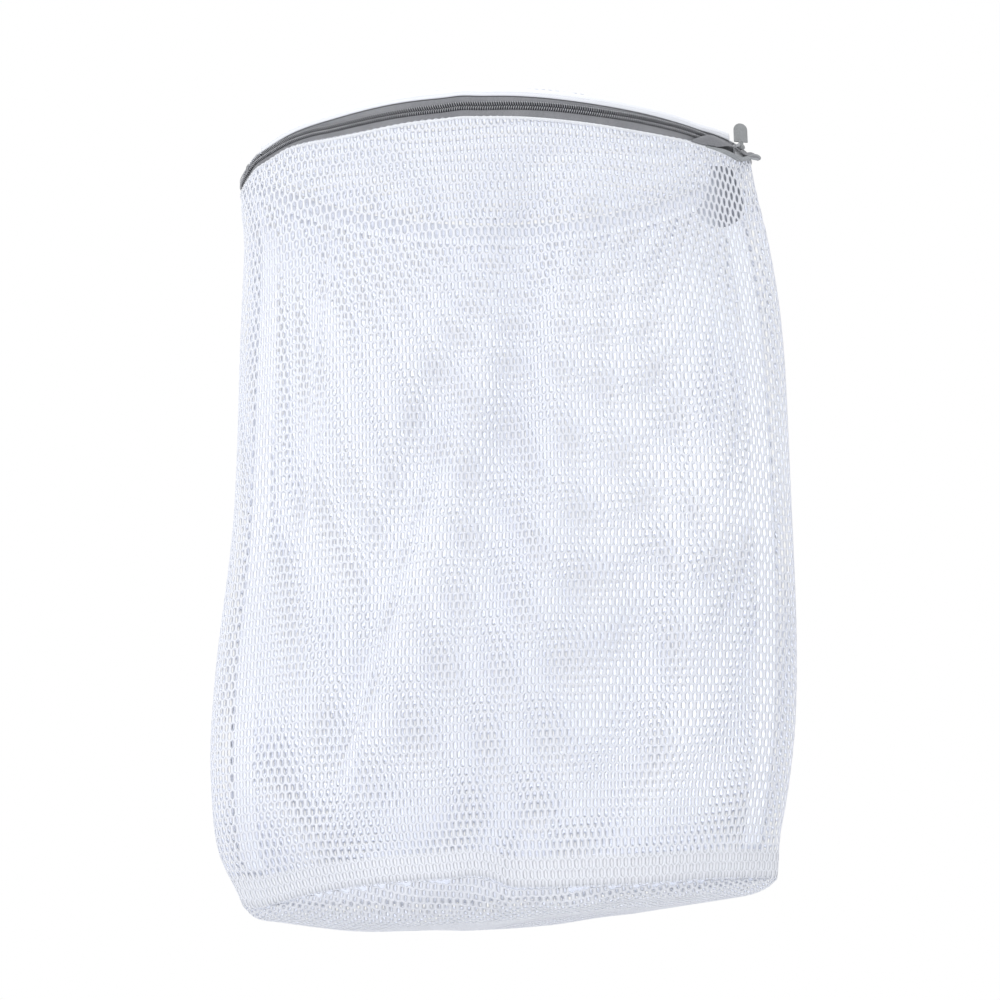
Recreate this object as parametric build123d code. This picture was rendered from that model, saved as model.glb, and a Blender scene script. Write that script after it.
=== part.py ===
"""A mesh laundry bag: a soft net tube with a net base and a net lid.

The bag stands on its base with +Z up. Its zipper runs round the front of the rim (-Y) between the wall
and the lid. The origin is under the middle of the base. Millimetres.
"""

import os
from math import atan2, cos, degrees, sin

from build123d import *

# ---- driving dimensions ------------------------------------------------------------------------
CLOTH = 0.8  # thickness of the net
BINDING = 1.3  # thickness of a folded seam binding
LAYER_GAP = 0.1  # room between layers that are sewn together

BASE_CENTRE = (-5.9, 0.3)  # the bag leans, so its base is a little off the middle of its box
BASE_RING_Z = 20.0  # the seam round the base; the base panel hangs below it like a shallow dish
# The wall's cross sections: height, half width, half depth, corner radius, sideways lean.
WALL_STATIONS = [
    (BASE_RING_Z, 163.0, 85.0, 20.0, 0.0),
    (50.0, 173.0, 86.0, 18.0, -2.0),
    (95.0, 179.0, 87.0, 18.0, 0.0),
    (160.0, 181.0, 88.0, 20.0, 4.0),
    (270.0, 178.0, 91.0, 22.0, 12.0),
    (400.0, 171.0, 97.0, 24.0, 15.0),
]
BASE_STEPS = [(12.0, 6.0), (5.5, 16.0), (1.8, 30.0), (0.0, 44.0)]  # height, inset from the ring

RIM_HALF_WIDTH = 165.0
RIM_HALF_DEPTH = 100.0
RIM_CORNER = 25.0
RIM_CENTRE = (7.1, 0.3, 482.0)  # the middle of the zipper's plane
RIM_FRONT_UP = 5.5  # degrees that the zipper's plane is tipped up at the front
RIM_RIGHT_DOWN = 2.0  # degrees that it is tipped down at the right

SIDE_SEAM_Y = 17.0  # the side seams lie just behind the widest line
SIDE_BINDING_WIDTH = 13.0
BASE_BINDING_HEIGHT = 16.0

LID_TOP = 19.0  # the lid's flat top above the zipper's middle line
LID_STEPS = [(12.0, 2.0), (16.0, 6.5), (18.3, 15.0), (LID_TOP, 32.0)]  # height, inset
FOLD_Y = -24.0  # the lid folds along the line between the zipper's ends
FOLD_GAP = 0.6

TAPE_EDGE = 7.0  # each visible half of the zipper tape
TAPE_HIDDEN = 1.0  # how far the wall's tape goes on under the net
TAPE = 0.6
CHAIN_HALF = 2.2  # half the height of the closed chain
CHAIN_SLOT = 0.65  # half of the slot that the slider's post runs in
CHAIN_OUT = 1.1
CHAIN_IN = 0.9
MOVING_HALF_SPAN = 149.3  # the part of the zipper that opens ends this far from the middle
ZIP_BACK_Y = 4.0  # the tape goes on round both corners and ends here

SLIDER_PARKED = 52.5  # degrees round from the middle of the front to the right
SLIDER_LENGTH, SLIDER_HEIGHT = 9.5, 7.6
PLATE_THICK = 1.1
FRONT_PLATE_FROM = 1.5
REAR_PLATE_FROM = -3.1
PIVOT_OUT, PIVOT_UP = 4.6, 3.0  # the puller's pivot, from the zipper's middle line
PULLER_WIDTH, PULLER_TOP, PULLER_THICK = 9.0, 19.0, 1.3
EYE_RADIUS, EYE_HOLE, PIN_RADIUS = 1.6, 0.85, 0.55
PULLER_TWIST = 40.0  # degrees that the tongue is turned on its neck, towards the front

GARAGE_FROM_X, GARAGE_TOP, GARAGE_BOTTOM = 136.0, 1.0, -8.4
GARAGE_OUT = 3.2
BIG = 600.0


# ---- shapes ------------------------------------------------------------------------------------
def front_radius(half_width, half_depth, corner):
    """The radius of an oval's front and back arcs, which meet its corner arcs smoothly."""
    reach = half_width - corner
    return (reach**2 + half_depth**2 - corner**2) / (2 * (half_depth - corner))


def oval(half_width, half_depth, corner, grow=0.0):
    """A flattened round outline: two wide arcs, front and back, and two tight ones at the sides."""
    a, b, r = half_width + grow, half_depth + grow, corner + grow
    wide = front_radius(a, b, r)
    turn = atan2(a - r, wide - b)
    x, y = wide * sin(turn), (wide - b) - wide * cos(turn)
    outline = Wire(
        [
            ThreePointArc((-x, y), (0, -b), (x, y)),
            ThreePointArc((x, y), (a, 0), (x, -y)),
            ThreePointArc((x, -y), (0, b), (-x, -y)),
            ThreePointArc((-x, -y), (-a, 0), (-x, y)),
        ]
    )
    return Face(outline)


RIM = (RIM_HALF_WIDTH, RIM_HALF_DEPTH, RIM_CORNER)
RIM_RADIUS = front_radius(*RIM)
RIM_ARC_Y = RIM_RADIUS - RIM_HALF_DEPTH
rim_frame = Pos(*RIM_CENTRE) * Rot(0, RIM_RIGHT_DOWN, 0) * Rot(-RIM_FRONT_UP, 0, 0)


def wall_solid(grow):
    """The room inside the wall, grown outwards or shrunk inwards, up to the zipper tape."""
    x, y = BASE_CENTRE
    sections = [Pos(x + lean, y, z) * oval(a, b, r, grow) for z, a, b, r, lean in WALL_STATIONS]
    sections.append(rim_frame * Pos(0, 0, -TAPE_EDGE) * oval(*RIM, grow))
    return loft(sections)


def wall_layer(outside, inside):
    """A closed sheet that follows the wall, between two distances inside its outer face."""
    return wall_solid(-outside) - wall_solid(-inside)


def dish(rise, inset):
    """The room above the base panel's lower face, raised and shrunk for its upper face."""
    _, a, b, r, _ = WALL_STATIONS[0]
    sections = [Pos(0, 0, BASE_RING_Z) * oval(a, b, r, -inset)]
    for z, step in BASE_STEPS:
        sections.append(Pos(0, 0, z + rise) * oval(a - step - inset, b - step - inset, r))
    return Pos(*BASE_CENTRE) * loft(sections)


def rim_ring(out, into, low, high):
    """A band round the rim between two distances outside the rim line, in the rim's own frame."""
    band = oval(*RIM, out) - oval(*RIM, into)
    return extrude(Pos(0, 0, low) * band, high - low)


def lid_shell():
    """The whole lid in the rim's frame: an upright skirt that turns over into a flat top."""

    def cap(inset, drop):
        skirt = extrude(Pos(0, 0, -TAPE_EDGE) * oval(*RIM, -inset), 2 * TAPE_EDGE)
        sections = [Pos(0, 0, TAPE_EDGE) * oval(*RIM, -inset)]
        for z, step in LID_STEPS:
            sections.append(
                Pos(0, 0, z - drop)
                * oval(RIM_HALF_WIDTH - step - inset, RIM_HALF_DEPTH - step - inset, RIM_CORNER)
            )
        return skirt + loft(sections)

    return cap(0, 0) - cap(CLOTH, CLOTH)


def span(x0, x1, y0, y1, z0, z1):
    """A box between two corners."""
    box = Box(x1 - x0, y1 - y0, z1 - z0)
    return Pos((x0 + x1) / 2, (y0 + y1) / 2, (z0 + z1) / 2) * box


def both_sides(from_x, y_back):
    """Two boxes, left and right of the part of the zipper that opens."""
    return span(from_x, BIG, -BIG, y_back, -BIG, BIG) + span(-BIG, -from_x, -BIG, y_back, -BIG, BIG)


# ---- the net panels and their bindings ---------------------------------------------------------
def panels():
    wall = wall_layer(0, CLOTH)
    front = wall & span(-BIG, BIG, -BIG, SIDE_SEAM_Y - LAYER_GAP, 0, BIG)
    back = wall & span(-BIG, BIG, SIDE_SEAM_Y, BIG, 0, BIG)
    base = dish(0, 0) - dish(CLOTH, CLOTH)
    return {
        "front_panel": front,
        "back_panel": back,
        "base_panel": base & span(-BIG, BIG, -BIG, BIG, -1, BASE_RING_Z - LAYER_GAP),
    }


def bindings():
    layer = wall_layer(CLOTH + LAYER_GAP, CLOTH + LAYER_GAP + BINDING)
    low = BASE_RING_Z + 1.0
    top = low + BASE_BINDING_HEIGHT
    side_y = SIDE_SEAM_Y + SIDE_BINDING_WIDTH
    side_top = RIM_CENTRE[2] - 20.0
    inner_rim = CLOTH + LAYER_GAP
    rim_band = rim_ring(-inner_rim, -inner_rim - BINDING, -TAPE_EDGE - 1.0, -TAPE_EDGE + 5.0)
    return {
        "left_side_binding": layer & span(-BIG, 0, SIDE_SEAM_Y, side_y, top + 0.2, side_top),
        "right_side_binding": layer & span(0, BIG, SIDE_SEAM_Y, side_y, top + 0.2, side_top),
        "base_binding": layer & span(-BIG, BIG, -BIG, BIG, low, top),
        "rim_binding": rim_frame * (rim_band & span(-BIG, BIG, ZIP_BACK_Y + 4, BIG, -BIG, BIG)),
    }


def lid():
    shell = lid_shell()
    rear_skirt = span(-BIG, BIG, ZIP_BACK_Y, BIG, -TAPE_EDGE + LAYER_GAP, BIG)
    zip_room = span(-BIG, BIG, -BIG, ZIP_BACK_Y, -BIG, TAPE_EDGE + LAYER_GAP)
    flap_room = span(
        -MOVING_HALF_SPAN, MOVING_HALF_SPAN, -BIG, FOLD_Y - FOLD_GAP / 2, TAPE_EDGE + LAYER_GAP, BIG
    )
    edge = FOLD_GAP
    kept_room = span(
        -MOVING_HALF_SPAN - edge, MOVING_HALF_SPAN + edge, -BIG, FOLD_Y + FOLD_GAP / 2, -BIG, BIG
    )
    rear = (shell & rear_skirt) + (shell & span(-BIG, BIG, -BIG, ZIP_BACK_Y, -BIG, BIG)) - zip_room
    return {
        "lid_flap": rim_frame * (shell & flap_room),
        "lid_rear": rim_frame * (rear - kept_room),
    }


# ---- the zipper --------------------------------------------------------------------------------
def tapes():
    front = span(-BIG, BIG, -BIG, ZIP_BACK_Y - LAYER_GAP, -BIG, BIG)
    moving = span(-MOVING_HALF_SPAN, MOVING_HALF_SPAN, -BIG, 0, -BIG, BIG)
    ends = both_sides(MOVING_HALF_SPAN + FOLD_GAP, ZIP_BACK_Y - LAYER_GAP)
    tape_out = -CHAIN_IN - LAYER_GAP
    wall_tape = rim_ring(tape_out, tape_out - TAPE, -TAPE_EDGE - TAPE_HIDDEN, -CHAIN_SLOT)
    lid_tape = rim_ring(tape_out, tape_out - TAPE, CHAIN_SLOT, TAPE_EDGE)
    wall_chain = rim_ring(CHAIN_OUT, -CHAIN_IN, -CHAIN_HALF, -CHAIN_SLOT)
    lid_chain = rim_ring(CHAIN_OUT, -CHAIN_IN, CHAIN_SLOT, CHAIN_HALF)
    lid_stitch = rim_ring(0.5, LAYER_GAP, TAPE_EDGE + 1.0, TAPE_EDGE + 1.6)
    stitch_low = -TAPE_EDGE - 1.6
    stitch_room = span(-BIG, GARAGE_FROM_X - 1, -BIG, ZIP_BACK_Y, stitch_low, stitch_low + 0.6)
    wall_stitch = wall_layer(-0.5, -LAYER_GAP) & (rim_frame * stitch_room)
    return {
        "wall_zip_tape": rim_frame * (wall_tape & front),
        "wall_coil": rim_frame * (wall_chain & front),
        "wall_topstitch": wall_stitch,
        "upper_tape_ends": rim_frame * (lid_tape & ends),
        "upper_coil_ends": rim_frame * (lid_chain & ends),
        "lid_zip_tape": rim_frame * (lid_tape & moving),
        "lid_coil": rim_frame * (lid_chain & moving),
        "lid_topstitch": rim_frame * (lid_stitch & moving),
    }


def at_arc(angle):
    """The frame of a point on the zipper's arc: X along the chain to the right, -Y outwards."""
    return rim_frame * Pos(0, RIM_ARC_Y, 0) * Rot(0, 0, angle) * Pos(0, -RIM_RADIUS, 0)


def plate(out_from, out_to, height, corner):
    """A flat slider plate with rounded corners, between two distances outside the middle line."""
    body = span(-SLIDER_LENGTH / 2, SLIDER_LENGTH / 2, -out_to, -out_from, -height / 2, height / 2)
    return fillet(body.edges().filter_by(Axis.Y), corner)


def slider_parts():
    half_length, half_height = SLIDER_LENGTH / 2, SLIDER_HEIGHT / 2
    front_to = FRONT_PLATE_FROM + PLATE_THICK
    rear_to = REAR_PLATE_FROM + PLATE_THICK
    body = plate(FRONT_PLATE_FROM, front_to, SLIDER_HEIGHT, 2.0)
    body += plate(REAR_PLATE_FROM, rear_to, SLIDER_HEIGHT, 2.0)
    post_half = 0.3
    body += span(-2.0, 2.0, -FRONT_PLATE_FROM - 0.2, -rear_to + 0.2, -post_half, post_half)
    for side in (-1, 1):
        inner, outer = sorted((side * (CHAIN_HALF + 0.4), side * half_height))
        wing = span(-half_length + 2, half_length - 2, -FRONT_PLATE_FROM - 0.2, 0.4, inner, outer)
        body += wing

    pivot = Pos(0, -PIVOT_OUT, PIVOT_UP)
    crown = Part()
    for side in (-1, 1):
        ear_from, ear_to = sorted((side * 2.15, side * 3.05))
        ear = span(ear_from, ear_to, -PIVOT_OUT, -front_to, PIVOT_UP - 1.1, PIVOT_UP + 0.8)
        knuckle = pivot * Rot(0, 90, 0) * Cylinder(1.1, ear_to - ear_from)
        crown += ear + Pos((ear_from + ear_to) / 2, 0, 0) * knuckle
    pin = pivot * Rot(0, 90, 0) * Cylinder(PIN_RADIUS, 6.6)
    crown -= pivot * Rot(0, 90, 0) * Cylinder(PIN_RADIUS, 8.0)

    neck_half = 1.85
    shoulder = PIVOT_UP + 3.0
    top_radius = PULLER_WIDTH / 2
    tongue = span(
        -top_radius, top_radius, -PULLER_THICK / 2, PULLER_THICK / 2, shoulder, PULLER_TOP - top_radius
    )
    tongue += Pos(0, 0, PULLER_TOP - top_radius) * Rot(90, 0, 0) * Cylinder(top_radius, PULLER_THICK)
    tongue = Rot(0, 0, -PULLER_TWIST) * chamfer(tongue.faces().filter_by(Axis.Y).edges(), 0.25)
    neck = span(-neck_half, neck_half, -PULLER_THICK / 2, PULLER_THICK / 2, PIVOT_UP, shoulder + 0.5)
    eye = Pos(0, 0, PIVOT_UP) * Rot(0, 90, 0) * Cylinder(EYE_RADIUS, 2 * neck_half)
    hole = Pos(0, 0, PIVOT_UP) * Rot(0, 90, 0) * Cylinder(EYE_HOLE, 5.0)
    tab = Pos(0, -PIVOT_OUT, 0) * (tongue + neck + eye - hole)

    parked = at_arc(SLIDER_PARKED)
    return {
        "slider_body": parked * body,
        "slider_crown": parked * crown,
        "puller_pin": parked * pin,
        "puller_tab": parked * tab,
    }


def zip_end_pieces():
    """The pocket that the slider parks in, the tape's tail inside the bag and the two bar tacks."""
    sheet = rim_ring(GARAGE_OUT + CLOTH, GARAGE_OUT, GARAGE_BOTTOM, GARAGE_TOP)
    floor = rim_ring(GARAGE_OUT + 0.1, 0.4, GARAGE_BOTTOM, GARAGE_BOTTOM + CLOTH)
    end = rim_ring(GARAGE_OUT + 0.1, CHAIN_OUT + LAYER_GAP, GARAGE_BOTTOM, GARAGE_TOP)
    pocket = (sheet + floor) & span(GARAGE_FROM_X, BIG, -BIG, ZIP_BACK_Y, -BIG, BIG)
    pocket += end & span(161.0, BIG, -BIG, ZIP_BACK_Y, -BIG, BIG)

    tacks = Part()
    for side in (-1, 1):
        low, high = sorted((side * 159.5, side * 161.0))
        tack = rim_ring(CHAIN_OUT + 0.6, CHAIN_OUT + 0.05, -CHAIN_HALF - 1.5, CHAIN_HALF + 1.5)
        tacks += tack & span(low, high, -BIG, 0, GARAGE_TOP + 0.1 if side > 0 else -BIG, BIG)

    tail_outline = Polyline(
        (-13, 0), (1, 0), (6, -20), (3, -34), (-9, -40), (-22, -35), (-17, -18), (-13, 0)
    )
    tail = extrude(make_face(tail_outline), 1.4)
    tail = rim_frame * Pos(152, -15, -TAPE_EDGE - 3) * Rot(0, 0, 8) * Rot(90, 0, 0) * tail
    return {
        "slider_garage": rim_frame * pocket,
        "bar_tacks": rim_frame * tacks,
        "tape_tail": tail,
    }


# ---- write the parts ---------------------------------------------------------------------------
def main():
    os.makedirs("parts", exist_ok=True)
    nodes = {}
    for make in (panels, bindings, lid, tapes, slider_parts, zip_end_pieces):
        nodes.update(make())
    for name, shape in nodes.items():
        solids = shape.solids()
        whole = solids[0] if len(solids) == 1 else Compound(children=list(solids))
        export_step(whole, f"parts/{name}.step")
    turned = degrees(atan2(RIM_HALF_WIDTH - RIM_CORNER, RIM_ARC_Y))
    print(f"rim arc radius {RIM_RADIUS:.2f}, reaching {turned:.1f} degrees each side")


main()
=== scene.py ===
"""A mesh laundry bag: net panels with real holes, seam bindings, a coil zipper and its slider.

Lengths are in millimetres until a mesh is made; meshes are in metres, in the row frame.
"""
from math import cos, pi, radians, sin

import bpy
import numpy as np
from mathutils import Matrix, Vector


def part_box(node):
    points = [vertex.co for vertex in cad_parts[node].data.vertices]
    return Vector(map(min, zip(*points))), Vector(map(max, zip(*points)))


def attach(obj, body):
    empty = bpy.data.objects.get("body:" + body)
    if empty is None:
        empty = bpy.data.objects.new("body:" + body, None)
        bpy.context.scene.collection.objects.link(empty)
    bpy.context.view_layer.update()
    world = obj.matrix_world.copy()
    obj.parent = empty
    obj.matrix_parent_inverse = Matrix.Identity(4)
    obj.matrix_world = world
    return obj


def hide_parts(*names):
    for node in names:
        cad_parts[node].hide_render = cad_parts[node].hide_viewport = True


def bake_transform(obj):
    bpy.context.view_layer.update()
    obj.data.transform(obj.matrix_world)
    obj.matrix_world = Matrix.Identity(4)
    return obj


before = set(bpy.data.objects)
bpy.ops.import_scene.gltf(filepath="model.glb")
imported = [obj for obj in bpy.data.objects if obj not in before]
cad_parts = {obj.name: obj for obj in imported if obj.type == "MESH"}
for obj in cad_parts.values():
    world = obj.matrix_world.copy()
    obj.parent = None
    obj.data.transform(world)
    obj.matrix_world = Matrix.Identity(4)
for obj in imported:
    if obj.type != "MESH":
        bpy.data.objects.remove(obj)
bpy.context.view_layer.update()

MM = 0.001

# ---- driving dimensions, the same as the CAD part's --------------------------------------------
CLOTH = 0.8
BINDING = 1.3
BASE_CENTRE = (-5.9, 0.3)
BASE_RING_Z = 20.0
# The wall's cross sections: height, half width, half depth, corner radius, sideways lean.
WALL_STATIONS = [
    (BASE_RING_Z, 163.0, 85.0, 20.0, 0.0),
    (50.0, 173.0, 86.0, 18.0, -2.0),
    (95.0, 179.0, 87.0, 18.0, 0.0),
    (160.0, 181.0, 88.0, 20.0, 4.0),
    (270.0, 178.0, 91.0, 22.0, 12.0),
    (400.0, 171.0, 97.0, 24.0, 15.0),
]
RIM = (165.0, 100.0, 25.0)
RIM_CENTRE = (7.1, 0.3, 482.0)
RIM_FRONT_UP = 5.5
RIM_RIGHT_DOWN = 2.0
# How the base and the lid turn over from their edges: inset from the edge, and height there.
BASE_PROFILE = [(0.0, 20.0), (6.0, 12.0), (16.0, 5.5), (30.0, 1.8), (44.0, 0.0)]
LID_PROFILE = [(0.0, 7.0), (2.0, 12.0), (6.5, 16.0), (15.0, 18.3), (32.0, 19.0)]
TAPE_EDGE = 7.0
TAPE_HIGH, TAPE_LOW = 7.6, 7.9  # the tape's visible edges above and below the chain
TAPE_UNDER_HEM = 0.6  # how far the tape goes on under the net's hem
CHAIN_HALF = 2.5
COIL_PITCH = 1.45
MOVING_HALF_SPAN = 149.3  # the lid's part of the zipper ends this far to each side
MOVING_GAP = 0.6  # between the lid's part of the zipper and its fixed ends
ZIP_BACK_Y = 4.0  # how far the zipper goes on behind the rim's middle line

# The net: cells in staggered rows, each with a tall oval hole.
ROUND_CELLS = 172
CELL_WIDE, CELL_TALL = 4.4, 5.15
HOLE_HALF_WIDE, HOLE_HALF_TALL = 0.92, 2.7
JUNCTION = 3.25  # from a cell's middle to the upper end of its sides
WALL_ROWS = 88
SEAM_HALF_COLUMNS = 2 * 47  # from the front's middle to a side seam
BACK_HOLES, END_HOLES = 0.4, 0.7  # hole width in the back and in the base and lid, by the front's


# ---- curves and surfaces -----------------------------------------------------------------------
def turn(x_degrees, y_degrees):
    """Rotation matrices that turn about X and then about Y; the angles may be arrays."""
    a, b = np.radians(x_degrees), np.radians(y_degrees)
    ca, sa, cb, sb = np.cos(a), np.sin(a), np.cos(b), np.sin(b)
    zero = np.zeros_like(ca + cb)
    rows = [[cb + zero, sb * sa, sb * ca], [zero, ca + zero, -sa + zero], [-sb + zero, cb * sa, cb * ca]]
    return np.moveaxis(np.array(rows), (0, 1), (-2, -1))


RIM_TURN = turn(-RIM_FRONT_UP, RIM_RIGHT_DOWN)


def from_rim(points):
    """Points of the rim's own frame, in the row frame."""
    return np.asarray(points) @ RIM_TURN.T + np.array(RIM_CENTRE)


def smooth(x, low, high):
    """0 below low, 1 above high, and a smooth rise between them."""
    s = np.clip((np.asarray(x, float) - low) / (high - low), 0, 1)
    return s * s * (3 - 2 * s)


def spline(xs, ys, x):
    """A smooth curve through (xs, ys), with each slope taken from its two neighbours."""
    xs, ys = np.asarray(xs, float), np.asarray(ys, float)
    slopes = np.gradient(ys, xs)
    i = np.clip(np.searchsorted(xs, x, side="right") - 1, 0, len(xs) - 2)
    h = xs[i + 1] - xs[i]
    s = np.clip((x - xs[i]) / h, 0, 1)
    a, b = ys[i], ys[i + 1]
    return (
        a * (1 + 2 * s) * (1 - s) ** 2
        + b * s**2 * (3 - 2 * s)
        + h * slopes[i] * s * (1 - s) ** 2
        - h * slopes[i + 1] * s**2 * (1 - s)
    )


def oval_parts(a, b, r):
    """An oval's wide radius, the angle where its corner begins, and the length of a quarter of it."""
    wide = ((a - r) ** 2 + b**2 - r**2) / (2 * (b - r))
    bend = np.arctan2(a - r, wide - b)
    return wide, bend, wide * bend + r * (pi / 2 - bend)


def oval_at(a, b, r, share):
    """Point and outward normal on an oval, by the share of the way round from the front's middle."""
    wide, bend, quarter = oval_parts(a, b, r)
    q = 4 * (share % 1.0)
    k = np.floor(q).astype(int)
    f = np.where(k % 2 == 0, q - k, 1 - (q - k)) * quarter
    on_wide = f < wide * bend
    angle = np.where(on_wide, f / wide, bend + (f - wide * bend) / r)
    nx, ny = np.sin(angle), -np.cos(angle)
    x = np.where(on_wide, wide * nx, (a - r) + r * nx)
    y = np.where(on_wide, (wide - b) + wide * ny, r * ny)
    sx = np.where(k < 2, 1, -1)
    sy = np.where((k == 0) | (k == 3), 1, -1)
    return np.stack([x * sx, y * sy], -1), np.stack([nx * sx, ny * sy], -1)


RIM_WIDE, RIM_BEND, RIM_QUARTER = oval_parts(*RIM)
RIM_ROUND = 4 * RIM_QUARTER


def wall_sections():
    """One row for each of the wall's sections: centre, half width, half depth, corner, and two tilts."""
    x, y = BASE_CENTRE
    rows = [(x + lean, y, z, a, b, r, 0, 0) for z, a, b, r, lean in WALL_STATIONS]
    top = from_rim([0, 0, -TAPE_EDGE])
    rows.append((*top, *RIM, -RIM_FRONT_UP, RIM_RIGHT_DOWN))
    return np.array(rows)


SECTIONS = wall_sections()
SECTION_V = (SECTIONS[:, 2] - SECTIONS[0, 2]) / (SECTIONS[-1, 2] - SECTIONS[0, 2])


def even_front(share):
    """Cells are a little narrower in the middle of the front and back and wider at the sides."""
    return share - 0.12 * np.sin(4 * pi * share) / (4 * pi)


def crease(x, z, top, bottom, width, depth):
    """A slanted fold line of the front panel: the net steps in across it, and the step fades at its ends."""
    (x1, z1), (x0, z0) = top, bottom
    along = np.clip((z - z0) / (z1 - z0), -0.5, 1.5)
    d = (x - (x0 + (x1 - x0) * along)) / width
    fade = smooth(along, -0.15, 0.2) * (1 - smooth(along, 0.85, 1.15))
    return -depth * fade * (np.exp(-(d**2)) - 0.45 * np.exp(-((d - 1.6) ** 2)))


def wall_wave(x, y, z, v):
    """How far the wall stands out of its plain shape, from folds and slack."""
    front = smooth(-y, -5, 40)
    back = 1 - front
    folds = crease(x, z, (-30, 330), (-118, 75), 15, 8.0)
    folds = folds + crease(x, z, (30, 455), (-12, 150), 17, 8.0)
    folds = folds + crease(x, z, (110, 330), (60, 60), 20, 5.0)
    folds = folds + crease(x, z, (-105, 440), (-135, 230), 14, 4.0)
    slack = 1.6 * np.sin(x / 31 + z / 90 + 0.6) + 1.2 * np.sin(x / 47 - z / 38)
    slack = slack + 0.8 * np.sin(x / 17 + z / 23 + 1.1) * smooth(-z, -190, -40)
    other = 2.6 * np.sin(x / 38 - z / 110) + 1.8 * np.sin(x / 61 + z / 45 + 2.0)
    held = smooth(v, 0.0, 0.07) * (1 - smooth(v, 0.9, 0.985))
    return held * (front * (folds + slack - 0.8) + back * (other - 1.0))


def corner_droop(x, y):
    """How far the rim hangs below its plane where the zipper's left end goes round the corner."""
    return -7.0 * smooth(-x, 152, 166) * (1 - smooth(y, 8, 60))


# How far the soft rim is off its plane, by the way round it from the front's middle to the right:
# where the net's top edge, the chain and the tape's top edge run.
EDGE_LIFT = [
    (-260, 0), (-205, 0.5), (-180, 1.5), (-163, 1.9), (-142, 3.4), (-124, 1.7), (-107, -0.3),
    (-90, -1.5), (-46, -1.2), (0, -1.6), (40, -2.8), (60, -2.8), (93, -2.5), (110, -1.4), (128, 0.4),
    (144, 1.9), (156, 3.0), (164, 3.5), (172, 3.7), (180, 4.4), (185, 6.3), (190, 9.0), (196, 11.2),
    (204, 12.6), (214, 12.0), (235, 5.0), (260, 0),
]
CHAIN_LIFT = [
    (-260, 0), (-190, 0), (-160, 0.4), (-142, 1.2), (-124, 0.8), (-107, -0.8), (-90, -1.4),
    (-46, -1.5), (93, -1.5), (110, -1.0), (128, 0), (144, 0.5), (185, 0.5), (192, 2.5), (204, 5.5),
    (214, 6.0), (260, 0),
]
TOP_LIFT = [
    (-260, 0), (-225, -3.0), (-200, -5.6), (-185, -5.8), (-163, -4.4), (-142, -2.6), (-107, -2.5),
    (-46, -1.9), (0, -2.8), (40, -4.0), (93, -4.6), (128, -4.2), (144, -3.6), (156, -2.0),
    (172, -0.6), (190, -0.8), (204, 0), (260, 0),
]
LID_SINKS = 3.0  # the lid's net goes down no further than this, to stay clear of the slider's run


def lift_at(keys, s):
    """The lift of one of the rim's lines, by the way round in millimetres, which may run past the back."""
    s = (s + RIM_ROUND / 2) % RIM_ROUND - RIM_ROUND / 2
    return spline(*zip(*keys), np.clip(s, keys[0][0], keys[-1][0]))


def rim_lift(s, up):
    """The lift of a point of the rim band, from how far above the chain it is."""
    edge, chain, top = (lift_at(keys, s) for keys in (EDGE_LIFT, CHAIN_LIFT, TOP_LIFT))
    edge_up = -TAPE_LOW - TAPE_UNDER_HEM
    low = edge + (chain - edge) * np.clip((up - edge_up) / (-CHAIN_HALF - edge_up), 0, 1)
    return low + (top - chain) * np.clip((up - CHAIN_HALF) / (TAPE_HIGH - CHAIN_HALF), 0, 1)


def rim_way(x, y):
    """How far round the rim the point of it beside (x, y) is, from the front's middle to the right."""
    a, b, r = RIM
    ax, ay = np.abs(x), np.abs(y)
    angle = np.arctan2(ax, ay + RIM_WIDE - b)
    in_corner = RIM_WIDE * RIM_BEND + r * (np.arctan2(np.maximum(ax - (a - r), 0), ay) - RIM_BEND)
    s = np.where(angle < RIM_BEND, RIM_WIDE * angle, in_corner)
    return np.sign(x) * np.where(y < 0, s, 2 * RIM_QUARTER - s)


# How far the seam between wall and base is off its ring at the front, by the sideways position.
SEAM_LIFT = [
    (-175, 0), (-160, -4.0), (-145, -3.0), (-128, -0.5), (-105, 1.5), (-84, 2.6), (-45, 2.6),
    (-20, 2.4), (-14, 0.5), (-7, -3.2), (5, -4.6), (30, -5.2), (75, -4.6), (110, -2.4), (150, -0.8),
    (175, 0),
]


def seam_lift(x, y):
    """The lift of the seam beside (x, y); it fades out towards the back."""
    return spline(*zip(*SEAM_LIFT), np.clip(x, SEAM_LIFT[0][0], SEAM_LIFT[-1][0])) * smooth(-y, -12, 10)


def wall_at(share, v, out=0.0):
    """A point of the wall, by the share of the way round and up, and how far out of its outer face."""
    share, v = np.broadcast_arrays(np.asarray(share, float), np.asarray(v, float))
    cx, cy, cz, a, b, r, tip_x, tip_y = (spline(SECTION_V, SECTIONS[:, i], v) for i in range(8))
    flat, normal = oval_at(a, b, r, even_front(share))
    turned = turn(tip_x, tip_y)
    zero = np.zeros(share.shape + (1,))
    p = np.einsum("...ij,...j", turned, np.concatenate([flat, zero], -1))
    n = np.einsum("...ij,...j", turned, np.concatenate([normal, zero], -1))
    p = p + np.stack([cx, cy, cz], -1)
    lift = lift_at(EDGE_LIFT, even_front(share) * RIM_ROUND)
    p[..., 2] += smooth(v, 0.93, 1.0) * corner_droop(p[..., 0] - RIM_CENTRE[0], p[..., 1] - RIM_CENTRE[1])
    p[..., 2] += smooth(v, 0.84, 1.0) * lift + (1 - smooth(v, 0.0, 0.11)) * seam_lift(p[..., 0], p[..., 1])
    wave = wall_wave(p[..., 0], p[..., 1], p[..., 2], v)
    return p + n * (np.asarray(out) + wave)[..., None]


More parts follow.
